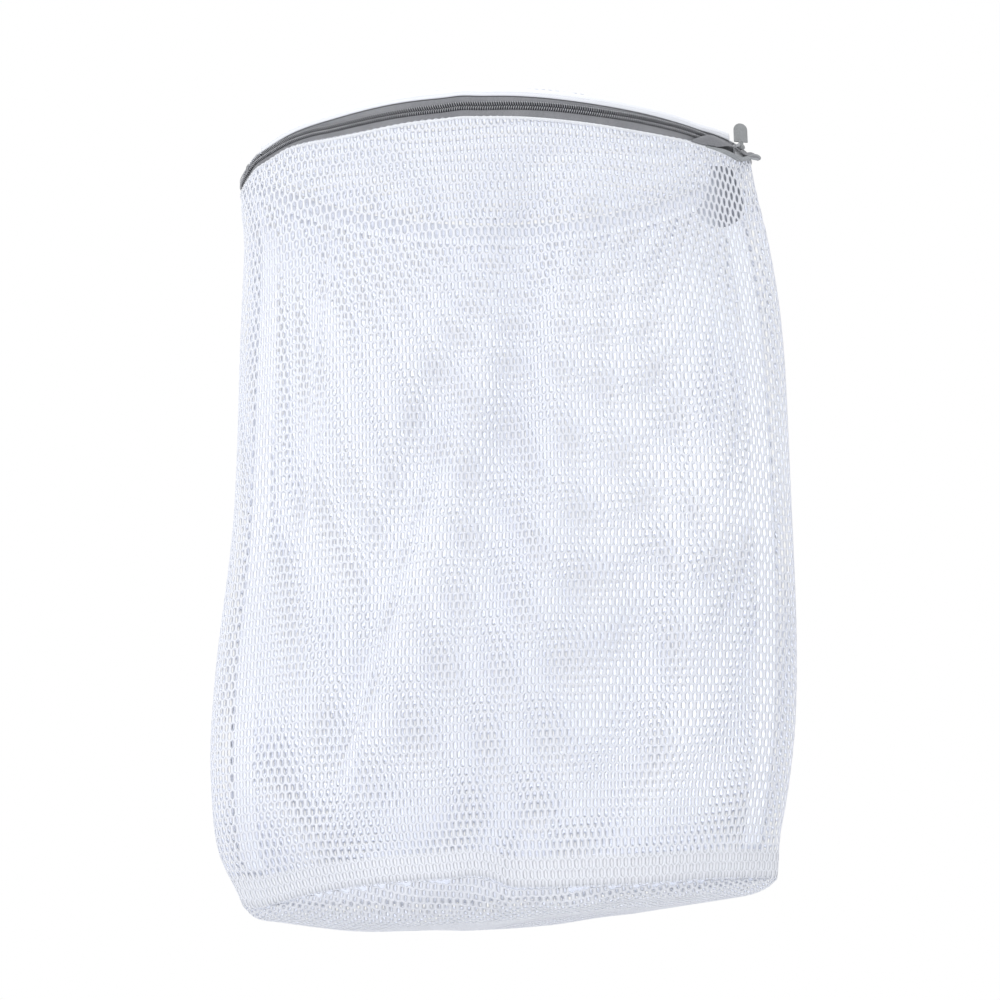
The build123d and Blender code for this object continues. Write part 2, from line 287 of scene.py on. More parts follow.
def inside_oval(x, y, a, b, r):
    """How deep a point lies inside an oval, and the outward direction at the outline nearest to it."""
    wide, bend, _ = oval_parts(a, b, r)
    ax, ay = np.abs(x), np.abs(y)
    angle = np.arctan2(ax, ay + wide - b)
    corner = angle > bend
    cx = np.where(corner, a - r, 0.0)
    cy = np.where(corner, 0.0, b - wide)
    dx, dy = ax - cx, ay - cy
    far = np.maximum(np.hypot(dx, dy), 1e-6)
    depth = np.where(corner, r, wide) - far
    return depth, np.stack([dx / far * np.where(x < 0, -1, 1), dy / far * np.where(y < 0, -1, 1)], -1)


class Turnover:
    """A flat panel whose edge turns over: a map from the flat cut to the made-up shape."""

    def __init__(self, outline, profile, shortest=0.0):
        self.outline, self.shortest = outline, shortest
        inset, height = np.array(profile).T
        run = np.concatenate([[0], np.cumsum(np.hypot(np.diff(inset), np.diff(height)))])
        self.run, self.inset, self.height = run, inset, height
        self.spare = run[-1] - inset[-1]

    def cut(self):
        """The half width, half depth and corner of the flat cut."""
        a, b, r = self.outline
        return a + self.spare, b + self.spare, r + self.spare

    def __call__(self, x, y):
        """The made-up place of a flat point, and the outward direction there."""
        depth, away = inside_oval(x, y, *self.cut())
        depth_in = np.clip(depth, self.shortest, None)
        x, y = x + away[..., 0] * (depth - depth_in), y + away[..., 1] * (depth - depth_in)
        d = np.minimum(depth_in, self.run[-1])
        inset = spline(self.run, self.inset, d)
        height = spline(self.run, self.height, d)
        move = np.where(depth_in < self.run[-1], d - self.spare - inset, 0.0)
        slope_in = np.gradient(spline(self.run, self.inset, self.run), self.run)
        lean = 1 - np.clip(np.interp(d, self.run, slope_in), 0, 1)
        normal = np.stack([away[..., 0] * lean, away[..., 1] * lean, np.sqrt(1 - 0.98 * lean**2)], -1)
        return np.stack([x + away[..., 0] * move, y + away[..., 1] * move, height], -1), normal


# ---- meshes ------------------------------------------------------------------------------------
def add_mesh(
    name, points, faces, *, material, uv=None, body="bag", slot=None, stand_for=(), ride=True
):
    """A mesh object from points in millimetres and a list of arrays of triangles or quads."""
    mesh = bpy.data.meshes.new(name)
    faces = [np.asarray(f) for f in faces if len(f)]
    corners = np.concatenate([f.ravel() for f in faces]).astype(np.int32)
    sizes = np.concatenate([np.full(len(f), f.shape[1]) for f in faces])
    mesh.vertices.add(len(points))
    mesh.vertices.foreach_set("co", (np.asarray(points) * MM).astype(np.float32).ravel())
    mesh.loops.add(len(corners))
    mesh.loops.foreach_set("vertex_index", corners)
    mesh.polygons.add(len(sizes))
    mesh.polygons.foreach_set("loop_start", np.concatenate([[0], np.cumsum(sizes)[:-1]]).astype(np.int32))
    if uv is not None:
        layer = mesh.uv_layers.new(name="flat")
        layer.data.foreach_set("uv", np.asarray(uv, np.float32)[corners].ravel())
    mesh.update(calc_edges=True)
    mesh.validate()
    mesh.shade_smooth()
    obj = bpy.data.objects.new(name, mesh)
    bpy.context.scene.collection.objects.link(obj)
    mesh.materials.append(material)
    if ride:
        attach(obj, body)
    if stand_for:
        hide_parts(*stand_for)
    return obj


def net_mesh(name, cells, place, hole_size=1.0, **kwargs):
    """A net of cells (column in half widths, row), each with a hole, with rounded strands between them.

    place(x, y, h) gives the point of flat position (x, y) that is h in front of the cloth's middle.
    """
    ix, j = cells[:, 0], cells[:, 1]
    # A cell's corners, clockwise from its top, as half columns and twice the row, odd for a
    # row's upper corners.
    keys = [
        (ix, 2 * j + 1), (ix + 1, 2 * j + 2), (ix + 1, 2 * j - 1),
        (ix, 2 * j), (ix - 1, 2 * j - 1), (ix - 1, 2 * j + 2),
    ]
    stride, middle = 4096, 1024
    flat_keys = np.concatenate([(k[1] + middle) * stride + k[0] + middle for k in keys])
    found, index = np.unique(flat_keys, return_inverse=True)
    corner = index.reshape(6, len(ix))
    kx, ky = found % stride - middle, found // stride - middle
    row = np.floor(ky / 2)
    jx = kx * CELL_WIDE / 2
    jy = row * CELL_TALL + np.where(ky % 2 == 1, JUNCTION, -JUNCTION)
    w, h = HOLE_HALF_WIDE * hole_size, HOLE_HALF_TALL * (0.5 + 0.5 * hole_size)
    bow_x, bow_y = 0.74 * w, 0.56 * h
    hole = [
        (0, h), (bow_x, bow_y), (w, 0), (bow_x, -bow_y), (0, -h), (-bow_x, -bow_y), (-w, 0), (-bow_x, bow_y)
    ]
    hx = np.concatenate([ix * CELL_WIDE / 2 + dx for dx, _ in hole])
    hy = np.concatenate([j * CELL_TALL + dy for _, dy in hole])
    nj, nh = len(found), len(ix)
    near, far = (place(jx, jy, np.full(nj, h)) for h in (CLOTH / 2, -CLOTH / 2))
    edge = place(hx, hy, np.zeros(len(hx)))
    points = np.concatenate([near, far, edge])
    # the faces between a cell's corners (top, upper right and so on) and its hole's eight points
    e = np.arange(8 * nh).reshape(8, nh) + 2 * nj
    t, ur, lr, b, ll, ul = corner
    quads = [(t, e[0], e[1], ur), (lr, e[3], e[4], b), (t, ul, e[7], e[0]), (ll, b, e[4], e[5])]
    tris = [
        (ur, e[1], e[2]), (ur, e[2], lr), (lr, e[2], e[3]), (ul, e[6], e[7]), (ul, ll, e[6]), (ll, e[5], e[6])
    ]
    front4 = np.concatenate([np.stack(f, 1) for f in quads])
    front3 = np.concatenate([np.stack(f, 1) for f in tris])
    back4 = np.where(front4 < nj, front4 + nj, front4)[:, ::-1]
    back3 = np.where(front3 < nj, front3 + nj, front3)[:, ::-1]
    # where no other cell shares a side, a wall closes the net's outer edge
    ridge = [(ur, t), (lr, ur), (b, lr), (t, ul), (ul, ll), (ll, b)]
    u = np.concatenate([first for first, _ in ridge])
    v = np.concatenate([last for _, last in ridge])
    lone = ~np.isin(u.astype(np.int64) * nj + v, v.astype(np.int64) * nj + u)
    u, v = u[lone], v[lone]
    side = np.stack([v, u, u + nj, v + nj], 1)
    uv = np.stack([np.concatenate([jx, jx, hx]), np.concatenate([jy, jy, hy])], 1)
    return add_mesh(name, points, [front4, front3, back4, back3, side], uv=uv * MM, **kwargs)


def slab(name, near, far, uv, closed=False, **kwargs):
    """A sheet with thickness between two grids of points; a closed one joins its last row to its first."""
    rows, cols = near.shape[:2]
    points = np.concatenate([near.reshape(-1, 3), far.reshape(-1, 3)])
    i = np.arange(rows if closed else rows - 1)[:, None]
    k = np.arange(cols - 1)[None, :]
    ip = (i + 1) % rows
    face = np.stack([i * cols + k, ip * cols + k, ip * cols + k + 1, i * cols + k + 1], -1).reshape(-1, 4)
    n = rows * cols
    faces = [face, face[:, ::-1] + n]
    r = np.arange(rows if closed else rows - 1)
    rp = (r + 1) % rows
    for c, flip in ((0, False), (cols - 1, True)):
        strip = np.stack([r * cols + c, r * cols + c + n, rp * cols + c + n, rp * cols + c], 1)
        faces.append(strip[:, ::-1] if flip else strip)
    if not closed:
        c = np.arange(cols - 1)
        for row, flip in ((0, True), (rows - 1, False)):
            at = row * cols + c
            strip = np.stack([at, at + n, at + 1 + n, at + 1], 1)
            faces.append(strip[:, ::-1] if flip else strip)
    uv = np.concatenate([uv.reshape(-1, 2), uv.reshape(-1, 2)]) * MM
    return add_mesh(name, points, faces, uv=uv, **kwargs)


def tubes(paths, radii, sides):
    """Points and faces of closed tubes along paths (tube by step by 3), with a radius at each step."""
    count, steps = paths.shape[:2]
    ahead = np.gradient(paths, axis=1)
    ahead /= np.linalg.norm(ahead, axis=-1, keepdims=True)
    ref = np.where(np.abs(ahead[:, :1, 2:3]) > 0.9, np.array([1.0, 0, 0]), np.array([0, 0, 1.0]))
    side = np.cross(ahead, np.broadcast_to(ref, ahead.shape))
    side /= np.linalg.norm(side, axis=-1, keepdims=True)
    up = np.cross(side, ahead)
    a = np.arange(sides) * 2 * pi / sides
    ring = side[:, :, None] * np.cos(a)[:, None] + up[:, :, None] * np.sin(a)[:, None]
    points = paths[:, :, None] + ring * np.broadcast_to(radii, (count, steps))[..., None, None]
    s, k = np.meshgrid(np.arange(steps - 1), np.arange(sides), indexing="ij")
    kp = (k + 1) % sides
    here, there = s * sides, (s + 1) * sides
    quad = np.stack([here + k, here + kp, there + kp, there + k], -1).reshape(-1, 4)
    start = np.arange(count)[:, None, None] * steps * sides
    quads = (quad[None] + start).reshape(-1, 4)
    fan = np.stack([np.zeros(sides - 2, int), np.arange(2, sides), np.arange(1, sides - 1)], 1)
    caps = [fan + start, fan[:, ::-1] + start + (steps - 1) * sides]
    return points.reshape(-1, 3), [quads, *(c.reshape(-1, 3) for c in caps)]


# ---- materials ---------------------------------------------------------------------------------
class Material:
    """A small helper around one node tree."""

    def __init__(self, name, colour, roughness, **sockets):
        self.material = bpy.data.materials.new(name)
        self.material.use_nodes = True
        self.tree = self.material.node_tree
        self.shader = self.tree.nodes["Principled BSDF"]
        self.shader.inputs["Base Color"].default_value = (*colour, 1)
        self.shader.inputs["Roughness"].default_value = roughness
        for key, value in sockets.items():
            self.shader.inputs[key.replace("_", " ")].default_value = value
        self.coords = {}

    def node(self, kind, inputs=(), **settings):
        made = self.tree.nodes.new(kind)
        for key, value in settings.items():
            setattr(made, key, value)
        for key, value in dict(inputs).items():
            if isinstance(value, bpy.types.NodeSocket):
                self.tree.links.new(value, made.inputs[key])
            else:
                made.inputs[key].default_value = value
        return made

    def at(self, where):
        """The coordinates to paint by: the piece's own, or its flat pattern's."""
        if where not in self.coords:
            if where == "UV":
                self.coords[where] = self.node("ShaderNodeUVMap", uv_map="flat").outputs[0]
            else:
                self.coords[where] = self.node("ShaderNodeTexCoord").outputs[where]
        return self.coords[where]

    def noise(self, scale, detail=3.0):
        inputs = {"Vector": self.at("Object"), "Scale": scale, "Detail": detail, "Roughness": 0.5}
        return self.node("ShaderNodeTexNoise", inputs).outputs[0]

    def wave(self, scale, direction, distort):
        inputs = {"Vector": self.at("UV"), "Scale": scale, "Distortion": distort}
        inputs.update({"Detail": 1.0, "Detail Scale": 3.0})
        return self.node("ShaderNodeTexWave", inputs, bands_direction=direction).outputs[1]

    def maths(self, operation, a, b):
        return self.node("ShaderNodeMath", {0: a, 1: b}, operation=operation).outputs[0]

    def ramp(self, value, *stops):
        made = self.node("ShaderNodeValToRGB", {"Fac": value})
        ramp = made.color_ramp
        while len(ramp.elements) < len(stops):
            ramp.elements.new(0.5)
        for element, (place, colour) in zip(ramp.elements, stops):
            element.position = place
            element.color = (*colour, 1)
        return made.outputs[0]

    def mix(self, factor, a, b, blend="MIX"):
        made = self.node("ShaderNodeMix", data_type="RGBA", blend_type=blend)
        # of the node's many sockets these are the plain factor and the two colours
        for key, value in ((0, factor), (6, a), (7, b)):
            if isinstance(value, bpy.types.NodeSocket):
                self.tree.links.new(value, made.inputs[key])
            else:
                made.inputs[key].default_value = (*value, 1) if key else value
        return made.outputs[2]

    def link(self, value, socket):
        self.tree.links.new(value, self.shader.inputs[socket])

    def roughness(self, value, least, span):
        self.link(self.maths("ADD", least, self.maths("MULTIPLY", value, span)), "Roughness")

    def bump(self, height, distance_mm, strength):
        inputs = {"Height": height, "Distance": distance_mm * MM, "Strength": strength}
        self.link(self.node("ShaderNodeBump", inputs).outputs[0], "Normal")


def net_material():
    """Fine white polyester yarns, a little blue, with knitted stitches along each strand."""
    m = Material(
        "net_white", (0.86, 0.88, 0.93), 0.5, Specular_IOR_Level=0.35, Sheen_Weight=0.15, Sheen_Roughness=0.5
    )
    broad = m.noise(9, 3)
    fine = m.noise(900, 2)
    colour = m.ramp(broad, (0.3, (0.81, 0.833, 0.9)), (0.7, (0.872, 0.894, 0.953)))
    stitch = m.wave(620, "Y", distort=2.0)
    yarn = m.wave(900, "X", distort=3.0)
    knit = m.maths("ADD", m.maths("MULTIPLY", stitch, 0.5), m.maths("MULTIPLY", yarn, 0.5))
    shade = m.ramp(knit, (0.1, (0.86, 0.87, 0.9)), (0.6, (1, 1, 1)))
    m.link(m.mix(1.0, colour, shade, "MULTIPLY"), "Base Color")
    m.roughness(fine, 0.38, 0.25)
    m.bump(knit, 0.12, 0.6)
    return m.material


def binding_material():
    """Dense white twill tape, sewn over the seams."""
    m = Material("binding_white", (0.88, 0.9, 0.95), 0.6, Sheen_Weight=0.2, Sheen_Roughness=0.5)
    slant = {"Vector": m.at("UV"), "Angle": radians(40)}
    diagonal = m.node("ShaderNodeVectorRotate", slant, rotation_type="Z_AXIS").outputs[0]
    lines = {"Vector": diagonal, "Scale": 260, "Distortion": 0.6}
    twill = m.node("ShaderNodeTexWave", lines, bands_direction="X").outputs[1]
    threads = m.wave(500, "Y", distort=0.8)
    weave = m.maths("ADD", m.maths("MULTIPLY", twill, 0.6), m.maths("MULTIPLY", threads, 0.4))
    colour = m.ramp(weave, (0.0, (0.74, 0.765, 0.83)), (0.7, (0.85, 0.872, 0.925)))
    patches = m.ramp(m.noise(30), (0.3, (0.78, 0.8, 0.86)), (0.7, (0.88, 0.9, 0.94)))
    m.link(m.mix(0.25, colour, patches), "Base Color")
    m.roughness(m.noise(700, 2), 0.5, 0.2)
    m.bump(weave, 0.15, 0.7)
    return m.material


def tape_material(name, dark, light, painted_light=None):
    """Grey woven zipper tape with fine ribs across it; a tape may be painted paler towards one edge, as
    painted light.
    """
    m = Material(name, light, 0.7, Sheen_Weight=0.12, Sheen_Roughness=0.6)
    ribs = m.wave(420, "X", distort=0.7)
    rows = m.wave(520, "Y", distort=0.9)
    weave = m.maths("MULTIPLY", m.maths("ADD", ribs, 0.25), m.maths("ADD", rows, 0.25))
    fleck = m.noise(1400, 2)
    grain = m.maths("ADD", m.maths("MULTIPLY", weave, 0.4), m.maths("MULTIPLY", fleck, 0.45))
    colour = m.ramp(grain, (0.1, dark), (0.75, light))
    # painted light: the tape's left edge is painted paler, as if more lit, and the paleness fades out towards
    # its right edge
    if painted_light:
        # from 0 at the left edge of a tape 22 mm wide to 1 at its right edge
        across = m.node("ShaderNodeSeparateXYZ", {0: m.at("UV")}).outputs[0]
        share = m.maths("ADD", m.maths("MULTIPLY", across, 45.0), 0.5)
        colour = m.mix(m.ramp(share, (0.12, (1, 1, 1)), (0.55, (0, 0, 0))), colour, painted_light)
    worn = m.ramp(m.noise(45, 4), (0.35, (0.86, 0.86, 0.87)), (0.65, (1.05, 1.05, 1.04)))
    m.link(m.mix(1.0, colour, worn, "MULTIPLY"), "Base Color")
    m.roughness(fleck, 0.6, 0.25)
    m.bump(weave, 0.12, 0.8)
    return m.material


def filament_material(name, dark, light, roughness):
    """A smooth monofilament: the zipper's coil, or a thread with its twist."""
    m = Material(name, light, roughness, Specular_IOR_Level=0.5)
    streak = m.noise(600, 2)
    m.link(m.ramp(streak, (0.3, dark), (0.7, light)), "Base Color")
    m.roughness(streak, roughness - 0.08, 0.2)
    m.bump(m.noise(2500, 2), 0.03, 0.5)
    return m.material


def painted_metal_material():
    """Grey enamel over a die-cast slider, with bright wear on its edges."""
    m = Material(
        "slider_enamel", (0.2, 0.21, 0.23), 0.35, Metallic=0.35, Coat_Weight=0.25, Coat_Roughness=0.2
    )
    edge = m.node("ShaderNodeNewGeometry").outputs["Pointiness"]
    patch = m.noise(220, 4)
    wear = m.maths("MULTIPLY", m.ramp(edge, (0.52, (0, 0, 0)), (0.6, (1, 1, 1))), patch)
    base = m.ramp(m.noise(500, 3), (0.3, (0.17, 0.18, 0.2)), (0.7, (0.24, 0.25, 0.27)))
    m.link(m.mix(wear, base, (0.55, 0.56, 0.58)), "Base Color")
    m.roughness(patch, 0.28, 0.2)
    m.bump(m.noise(900, 2), 0.02, 0.5)
    return m.material


def puller_material():
    """Moulded grey plastic with a fine matt grain."""
    m = Material("puller_grey", (0.3, 0.31, 0.32), 0.45, Specular_IOR_Level=0.45)
    grain = m.noise(1100, 3)
    blotch = m.noise(120, 3)
    colour = m.ramp(blotch, (0.3, (0.235, 0.245, 0.25)), (0.7, (0.29, 0.3, 0.31)))
    speck = m.ramp(grain, (0.3, (0.9, 0.9, 0.9)), (0.7, (1.08, 1.08, 1.08)))
    m.link(m.mix(1.0, colour, speck, "MULTIPLY"), "Base Color")
    m.roughness(grain, 0.38, 0.25)
    m.bump(grain, 0.03, 0.6)
    return m.material


NET = net_material()
WHITE = binding_material()
TAPE_GREY = tape_material("tape_grey", (0.125, 0.13, 0.145), (0.34, 0.345, 0.37))
# a near-black copy of the tape for thin strips along its edges: painted shadow at the tape's edges
TAPE_EDGE_SHADOW = tape_material("tape_edge_painted_shadow", (0.06, 0.063, 0.072), (0.15, 0.155, 0.17))
# the tail's tape: a paler copy of the grey tape, painted light, and painted paler still towards its left edge
TAPE_TAIL_PAINTED_LIGHT = tape_material(
    "tape_tail_painted_light", (0.2, 0.21, 0.235), (0.38, 0.395, 0.43), painted_light=(0.6, 0.62, 0.67)
)
# a paler copy of the grey tape for the garage's flap: painted light on the folded tape
TAPE_FLAP_PAINTED_LIT = tape_material("tape_flap_painted_lit", (0.26, 0.275, 0.29), (0.46, 0.48, 0.5))
COIL = filament_material("coil_grey", (0.34, 0.345, 0.37), (0.56, 0.57, 0.6), 0.3)
# a near-black filament: painted shade in the coil's middle and inside the garage's slit
PAINTED_SHADE_BLACK = filament_material("painted_shade_black", (0.018, 0.019, 0.024), (0.04, 0.042, 0.05), 0.6)
THREAD = filament_material("thread_white", (0.84, 0.86, 0.91), (0.94, 0.95, 0.98), 0.5)
TACK_THREAD = filament_material("tack_thread_grey", (0.2, 0.205, 0.22), (0.36, 0.37, 0.39), 0.5)
ENAMEL = painted_metal_material()
PULLER = puller_material()


# ---- the net panels ----------------------------------------------------------------------------
def wall_place(x, y, h):
    """A point of the wall's net, from its flat position and its height over the cloth's middle."""
    # the back's columns lean a little, so that they don't lie in line with the front's
    lean = 0.03 * y * smooth(np.cos(2 * pi * x / (ROUND_CELLS * CELL_WIDE)), 0.3, -0.6)
    share = (x + lean) / (ROUND_CELLS * CELL_WIDE)
    v = (y + CELL_TALL * 0.5) / (WALL_ROWS * CELL_TALL)
    return wall_at(share, np.clip(v, 0.0, 1.0), h - CLOTH / 2)


def wall_cells(from_half, to_half):
    """The wall's cells between two half columns, counted from the front's middle."""
    cells = [
        (ix, j)
        for j in range(WALL_ROWS)
        for ix in range(from_half + (from_half + j) % 2, to_half + 1, 2)
    ]
    return np.array(cells)


def make_walls():
    """The front net, which wraps round both side corners, and the back net."""
    front = net_mesh("front_net", wall_cells(-SEAM_HALF_COLUMNS, SEAM_HALF_COLUMNS), wall_place,
                     material=NET, slot="net", stand_for=["front_panel"])
    back = net_mesh("back_net", wall_cells(SEAM_HALF_COLUMNS + 1, 2 * ROUND_CELLS - SEAM_HALF_COLUMNS - 1),
                    wall_place, hole_size=BACK_HOLES, material=NET, slot="net", stand_for=["back_panel"])


def oval_cells(outline):
    """The cells whose middles lie inside a flat oval by more than the cloth's thickness."""
    a, b, _ = outline
    nx, ny = int(a / CELL_WIDE) + 2, int(b / CELL_TALL) + 2
    cells = np.array([
        (ix, j) for j in range(-ny, ny + 1) for ix in range(-2 * nx + j % 2, 2 * nx + 1, 2)
    ])
    off_centre = 1e-4
    x, y = cells[:, 0] * CELL_WIDE / 2 + off_centre, cells[:, 1] * CELL_TALL + off_centre
    depth, _ = inside_oval(x, y, *outline)
    return cells[depth > CLOTH]


def make_base():
    """The base net: sagged, pleated near its seam and drawn up towards its right and left ends."""
    shape = Turnover(WALL_STATIONS[0][1:4], BASE_PROFILE)

    def place(x, y, h):
        p, n = shape(x, -y)
        depth, _ = inside_oval(x, -y, *shape.cut())
        wave = smooth(depth, 4, 45) * (
            1.4 * np.sin(x / 23 + y / 41) + 1.1 * np.sin(x / 39 - y / 19 + 1.0)
        )
        ring = smooth(depth, 0, 10) * (1 - smooth(depth, 22, 60))
        pleat = ring * smooth(y, 10, 50) * 1.6 * np.sin(x / 9.5 + 0.8 * np.sin(x / 27))
        seam = seam_lift(p[..., 0] + BASE_CENTRE[0], p[..., 1] + BASE_CENTRE[1]) * (1 - smooth(depth, 6, 34))
        share = 0.42 * smooth(p[..., 0], -10, 150) + 0.34 * smooth(-p[..., 0], 80, 160)
        rise = np.maximum(wave, -0.2) + pleat * 0.6 + seam + share * (BASE_RING_Z - p[..., 2])
        p = p + np.stack([np.zeros_like(x), np.zeros_like(x), rise], -1)
        down = n * np.array([1, 1, -1])
        return p + down * (np.asarray(h) - CLOTH / 2)[..., None] + np.array([*BASE_CENTRE, 0])

    obj = net_mesh("base_net", oval_cells(shape.cut()), place, hole_size=END_HOLES, material=NET, slot="net",
                   stand_for=["base_panel"])


def make_lid():
    """The lid net, one piece over the lid's fixed rear part and its opening front part, flattened towards its
    left and right ends.
    """
    shape = Turnover(RIM, LID_PROFILE, shortest=2.2)

    def place(x, y, h):
        p, n = shape(x, y)
        depth, _ = inside_oval(x, y, *shape.cut())
        wave = smooth(depth, 12, 50) * (
            1.2 * np.sin(x / 29 - y / 37) + 0.9 * np.sin(x / 17 + y / 23 + 2.0) - 1.2
        )
        stands = 0.22 + 0.78 * smooth(p[..., 0], -165, -50) * (1 - 0.85 * smooth(p[..., 0], 30, 140))
        edge = LID_PROFILE[0][1]
        height = edge + (p[..., 2] - edge + wave) * stands
        lift = np.maximum(lift_at(TOP_LIFT, rim_way(p[..., 0], p[..., 1])), -LID_SINKS)
        sunk = corner_droop(p[..., 0], p[..., 1]) + lift
        height = height + (1 - smooth(depth, 4, 45)) * sunk
        p = np.stack([p[..., 0], p[..., 1], height], -1)
        return from_rim(p + n * (np.asarray(h) - CLOTH / 2)[..., None])

    obj = net_mesh("lid_net", oval_cells(shape.cut()), place, hole_size=END_HOLES, material=NET, slot="net",
                   stand_for=["lid_flap", "lid_rear"], ride=False)
    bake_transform(obj)


# ---- seam bindings -----------------------------------------------------------------------------
def wall_patch(name, shares, vs, near, far, **kwargs):
    """A closed strip that follows the wall between two depths."""
    s, v = np.meshgrid(shares, vs, indexing="ij")
    uv = np.stack([s * ROUND_CELLS * CELL_WIDE, v * WALL_ROWS * CELL_TALL], -1)
    return slab(name, wall_at(s, v, near), wall_at(s, v, far), uv=uv, **kwargs)


def make_bindings():
    """The tapes sewn inside along both side seams and round the base seam."""
    deep = -0.62 * CLOTH
    seam = SEAM_HALF_COLUMNS / 2 / ROUND_CELLS
    tape_wide = 13.0
    wide = tape_wide / (ROUND_CELLS * CELL_WIDE)
    vs = np.linspace(0.045, 0.965, 120)
    for side, name in ((1, "right_side_binding"), (-1, "left_side_binding")):
        shares = side * np.linspace(seam, seam + wide, 9)
        wall_patch(
            name, shares[::side], vs, deep, deep - BINDING, material=WHITE, slot="binding", stand_for=[name]
        )
    round_shares, low_vs = np.linspace(0, 1, 361)[:-1], np.linspace(0.003, 0.038, 6)
    wall_patch(
        "base_binding", round_shares, low_vs, deep, deep - BINDING, closed=True, material=WHITE,
        slot="binding", stand_for=["base_binding"],
    )


# ---- round the rim -----------------------------------------------------------------------------
def rim_at(s, out, up, lift=True):
    """A point round the rim: s along it from the front's middle to the right, then outwards and up."""
    p, n = oval_at(*RIM, np.asarray(s, float) / RIM_ROUND)
    out = np.asarray(out, float)[..., None]
    flat = p + n * out
    height = np.asarray(up, float) + corner_droop(p[..., 0], p[..., 1])
    if lift:
        height = height + rim_lift(np.asarray(s, float), np.asarray(up, float))
    return from_rim(np.concatenate([flat, (height + np.zeros(flat.shape[:-1]))[..., None]], -1))


def rim_sway(s):
    """The closed zipper's small dips and the kink a little left of its middle, up and down."""
    return 0.35 * np.sin(s / 37.0 + 0.4) + 0.2 * np.sin(s / 14.0) + 0.9 * np.exp(-(((s + 20) / 9.0) ** 2))


def band(name, s0, s1, profile, step=1.5, sway=None, **kwargs):
    """A closed section, a list of (out, up), swept along the rim from s0 to s1."""
    n = max(2, int(abs(s1 - s0) / step) + 1)
    s = np.linspace(s0, s1, n)
    prof = np.array(profile, float)
    out = np.broadcast_to(prof[:, 0], (n, len(prof)))
    up = np.broadcast_to(prof[:, 1], (n, len(prof)))
    if sway is not None:
        up = up + sway(s)[:, None]
    ss = np.broadcast_to(s[:, None], out.shape)
    points = rim_at(ss, out, up)
    k = len(prof)
    i = np.arange(n - 1)[:, None]
    c = np.arange(k)[None]
    cp = (c + 1) % k
    quads = np.stack([i * k + c, (i + 1) * k + c, (i + 1) * k + cp, i * k + cp], -1).reshape(-1, 4)
    fan = np.stack([np.zeros(k - 2, int), np.arange(1, k - 1), np.arange(2, k)], 1)
    caps = [fan, fan[:, ::-1] + (n - 1) * k]
    run = np.concatenate([[0], np.cumsum(np.hypot(*np.diff(prof, axis=0).T))])
    uv = np.stack([ss, np.broadcast_to(run, out.shape)], -1)
    return add_mesh(name, points.reshape(-1, 3), [quads, *caps], uv=uv.reshape(-1, 2) * MM, **kwargs)


def s_of_x(x):
    """How far round the rim's front arc a sideways position is."""
    return RIM_WIDE * np.arcsin(x / RIM_WIDE)


END_S = RIM_QUARTER + ZIP_BACK_Y
MOVING_S = float(s_of_x(MOVING_HALF_SPAN))
LEFT_END = (-END_S, -MOVING_S - MOVING_GAP)
RIGHT_END = (MOVING_S + MOVING_GAP, END_S)
TACK_FROM, TACK_TO = 184.5, 186.9
FLAP_FROM_X = 128.0  # the folded tape covers the wall's row of stitches from here on


def tape_half(sign, edge):
    """The section of one half of the tape, from beside the chain to its outer edge."""
    z = [0.55, 1.6, 2.6, 3.6, 5.2, 6.7, edge]
    out = [-1.0, -1.0, -0.85, -0.75, -0.7, -0.72, -0.8]
    outer = list(zip(out, z))
    inner = [(o - 0.6, u) for o, u in reversed(outer)]
    loop = [(o, sign * u) for o, u in outer + inner]
    return loop if sign < 0 else loop[::-1]


def teeth(s_from, s_to, sign):
    """The turns of one half of the coil: short arches across the chain."""
    margin = 0.4
    first = np.ceil((s_from + margin) / COIL_PITCH)
    s = np.arange(first, (s_to - margin) / COIL_PITCH) * COIL_PITCH
    s = s + (0 if sign > 0 else COIL_PITCH / 2)
    k = np.linspace(0, 1, 7)
    up = sign * spline([0, 0.3, 0.7, 1], [2.55, 1.75, 0.8, 0.1], k)
    out = spline([0, 0.15, 0.35, 0.6, 0.8, 1], [-0.85, 0.3, 0.85, 0.35, -0.3, -0.6], k)
    slant = (k - 0.5) * 0.8
    ss = s[:, None] + slant[None]
    paths = rim_at(ss, np.broadcast_to(out, ss.shape), np.broadcast_to(up, ss.shape) + rim_sway(s)[:, None])
    return tubes(paths, np.array([0.18, 0.25, 0.29, 0.27, 0.22, 0.2, 0.15]), 6)


def make_coil(name, s_ranges, sign, body):
    """One half of the coil, above the chain's middle (sign 1) or below it (-1)."""
    points, faces, count = [], [], 0
    for s0, s1 in s_ranges:
        p, f = teeth(s0, s1, sign)
        points.append(p)
        faces += [x + count for x in f]
        count += len(p)
    add_mesh(name, np.concatenate(points), faces, material=COIL, body=body, slot="coil", stand_for=[name])


def stitches(name, s_from, s_to, out, up, pitch, length, radius, **kwargs):
    """A row of thread stitches along the rim, each a short arch that dips into the cloth at its ends."""
    s = np.arange(s_from, s_to - length, pitch)
    k = np.linspace(0, 1, 5)
    ss = s[:, None] + k[None] * length
    arch = out + radius * 1.2 * np.sin(pi * k)
    ups = up + rim_sway(s)[:, None] + 0 * ss
    paths = rim_at(ss, np.broadcast_to(arch, ss.shape), ups)
    points, faces = tubes(paths, np.array([0.6, 1, 1, 1, 0.6]) * radius, 5)
    return add_mesh(name, points, faces, **kwargs)


